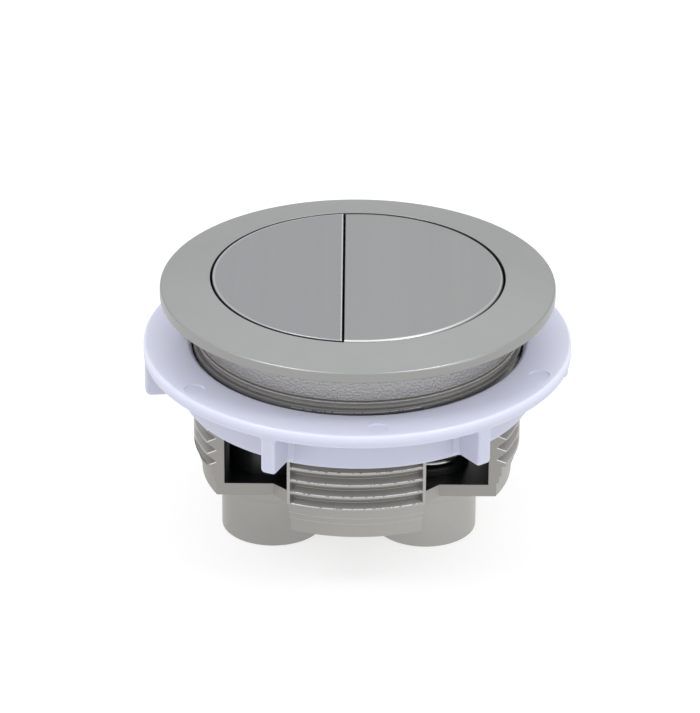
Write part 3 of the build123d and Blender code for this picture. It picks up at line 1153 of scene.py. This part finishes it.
class PUSHBUTTON_OT_guides(bpy.types.Operator):
    """Build the plungers and the bushes that guide them"""

    bl_idname = "pushbutton.guides"
    bl_label = "Plungers and bushes"

    def execute(self, context):
        scene = context.scene
        housing, button, springs = scene.housing_sizes, scene.button_sizes, scene.spring_sizes
        black = [finish_of("moulded_acetal")]
        for small, word in ((True, "small"), (False, "large")):
            stem = plunger_mesh(word + "_stem", housing, button, small)
            piece(word + "_stem", stem, word + "_button", [word + "_plunger"], black)
            bush = bush_mesh(word + "_bush", housing, button, springs, small)
            piece(word + "_bush", bush, "housing_body", [word + "_guide_bush"], black)
        return {"FINISHED"}


class PUSHBUTTON_OT_springs(bpy.types.Operator):
    """Wind the return springs and bend the retaining clips"""

    bl_idname = "pushbutton.springs"
    bl_label = "Springs and clips"

    def execute(self, context):
        scene = context.scene
        housing, springs = scene.housing_sizes, scene.spring_sizes
        steel = finish_of("drawn_steel")
        rule = coil_rule(steel)
        for small, word in ((True, "small"), (False, "large")):
            low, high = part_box(word + "_spring")
            radius, wire, turns = springs.of(small)
            seat = bpy.data.meshes.new("seat")
            coil = rule.used_on(seat, Radius=radius, Wire=wire, Turns=turns,
                                Height=high.z - low.z - 2 * wire, Closing=0.75)
            x, y = housing.axis(small)
            for vertex in coil.vertices:
                vertex.co += Vector((x, y, low.z + wire))
            wound = piece(word + "_coil", coil, "housing_body", [word + "_spring"], [],
                          weighted=False)
            keep = 1 - PRESS_TRAVEL / (high.z - housing.bush_top)
            housing.bush_top
            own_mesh(wound)
            clip = clip_mesh(word + "_clip", housing, springs, small)
            piece(word + "_clip", clip, word + "_button", [word + "_retaining_clip"],
                  [steel])
        return {"FINISHED"}


class PUSHBUTTON_OT_nut(bpy.types.Operator):
    """Build the white fixing nut with its lugs and ejector marks"""

    bl_idname = "pushbutton.nut"
    bl_label = "Fixing nut"

    def execute(self, context):
        nut = context.scene.nut_sizes
        nylon = finish_of("moulded_nylon")
        lug = link("work_lug", lug_mesh(nut))
        mark_depth = 0.2 * MM
        over = nut.top + 1 * MM
        low = nut.top - mark_depth
        mark = link("work_mark", turned("mark", [
            (0, over), (nut.mark_radius, over), (nut.mark_radius, low), (0, low),
        ], sides=48, centre=(nut.mark_circle, 0)))
        joined = ring_rule("lug_rule", "UNION", nylon)
        mesh = joined.used_on(nut_blank(nut), Copy=lug, Count=nut.lugs, Phase=nut.phase)
        pressed = ring_rule("mark_rule", "DIFFERENCE", nylon)
        mesh = pressed.used_on(mesh, Copy=mark, Count=nut.lugs, Phase=nut.phase + math.pi / nut.lugs)
        for tool in (lug, mark):
            bpy.data.objects.remove(tool)
        piece("white_nut", mesh, "nut", ["fixing_nut"], [])
        return {"FINISHED"}


class PUSHBUTTON_OT_stage(bpy.types.Operator):
    """Set the floor, the lights and the camera"""

    bl_idname = "pushbutton.stage"
    bl_label = "Stage"

    def execute(self, context):
        scene = context.scene
        ground = CAD_BOX[0].z
        floor = link("floor", prism("floor", [(-3, -3), (3, -3), (3, 3), (-3, 3)], ground - 0.01, ground))
        floor.data.materials.append(finish_of("floor_paper"))
        world = bpy.data.worlds.new("studio")
        world.use_nodes = True
        background = world.node_tree.nodes["Background"]
        background.inputs["Color"].default_value = (1, 1, 1, 1)
        sky = Nodes(world.node_tree)
        look = sky.add("ShaderNodeTexCoord", output="Generated")
        rise = sky.add("ShaderNodeSeparateXYZ", {}, look, output="Z")
        glow = sky.ramp(rise, 0.0, SKY_RISE, SKY_LOW, SKY_HIGH)
        sky.tree.links.new(glow.socket, background.inputs["Strength"])
        scene.world = world
        for name, place, size, power in LIGHTS:
            lamp = bpy.data.lights.new(name, "AREA")
            lamp.shape, lamp.size, lamp.energy = "SQUARE", size, power
            light = link(name, lamp)
            light.location = place
            light.rotation_euler = Vector(place).to_track_quat("Z", "Y").to_euler()
        scene.view_settings.view_transform = "Standard"
        data = bpy.data.cameras.new("camera")
        data.sensor_width = SENSOR_WIDTH
        data.lens = FOCAL_PIXELS * SENSOR_WIDTH / PICTURE
        data.shift_x, data.shift_y = SHIFT_X / PICTURE, SHIFT_Y / PICTURE
        camera = link("camera", data)
        back = Vector((0, -math.cos(CAMERA_ELEVATION), math.sin(CAMERA_ELEVATION)))
        camera.location = Vector(CAMERA_TARGET) + back * CAMERA_DISTANCE
        camera.rotation_euler = (math.pi / 2 - CAMERA_ELEVATION, 0, 0)
        camera.rotation_euler.rotate_axis("Z", CAMERA_ROLL)
        scene.camera = camera
        return {"FINISHED"}


OPERATORS = (
    PUSHBUTTON_OT_stage,
    PUSHBUTTON_OT_housing,
    PUSHBUTTON_OT_buttons,
    PUSHBUTTON_OT_guides,
    PUSHBUTTON_OT_springs,
    PUSHBUTTON_OT_nut,
)
SETTINGS = {
    "housing_sizes": HousingSizes,
    "button_sizes": ButtonSizes,
    "nut_sizes": NutSizes,
    "spring_sizes": SpringSizes,
    "button_finishes": Finishes,
}


class PUSHBUTTON_PT_panel(bpy.types.Panel):
    """The push button's pieces and settings in the sidebar"""

    bl_idname = "PUSHBUTTON_PT_panel"
    bl_label = "Push button"
    bl_space_type = "VIEW_3D"
    bl_region_type = "UI"
    bl_category = "Push button"

    def draw(self, context):
        for operator in OPERATORS:
            self.layout.operator(operator.bl_idname)
        for name, group in SETTINGS.items():
            box = self.layout.box()
            box.label(text=group.__doc__)
            for key in group.__annotations__:
                box.prop(getattr(context.scene, name), key)


CLASSES = (*SETTINGS.values(), *OPERATORS, PUSHBUTTON_PT_panel)


def register():
    """Registers the settings, operators and panel."""
    for item in CLASSES:
        bpy.utils.register_class(item)
    for name, group in SETTINGS.items():
        setattr(bpy.types.Scene, name, bpy.props.PointerProperty(type=group))


def unregister():
    """Takes the settings, operators and panel out again."""
    for name in SETTINGS:
        delattr(bpy.types.Scene, name)
    for item in reversed(CLASSES):
        bpy.utils.unregister_class(item)


def main():
    register()
    for operator in OPERATORS:
        group, name = operator.bl_idname.split(".")
        getattr(getattr(bpy.ops, group), name)()


if __name__ == "__main__":
    main()
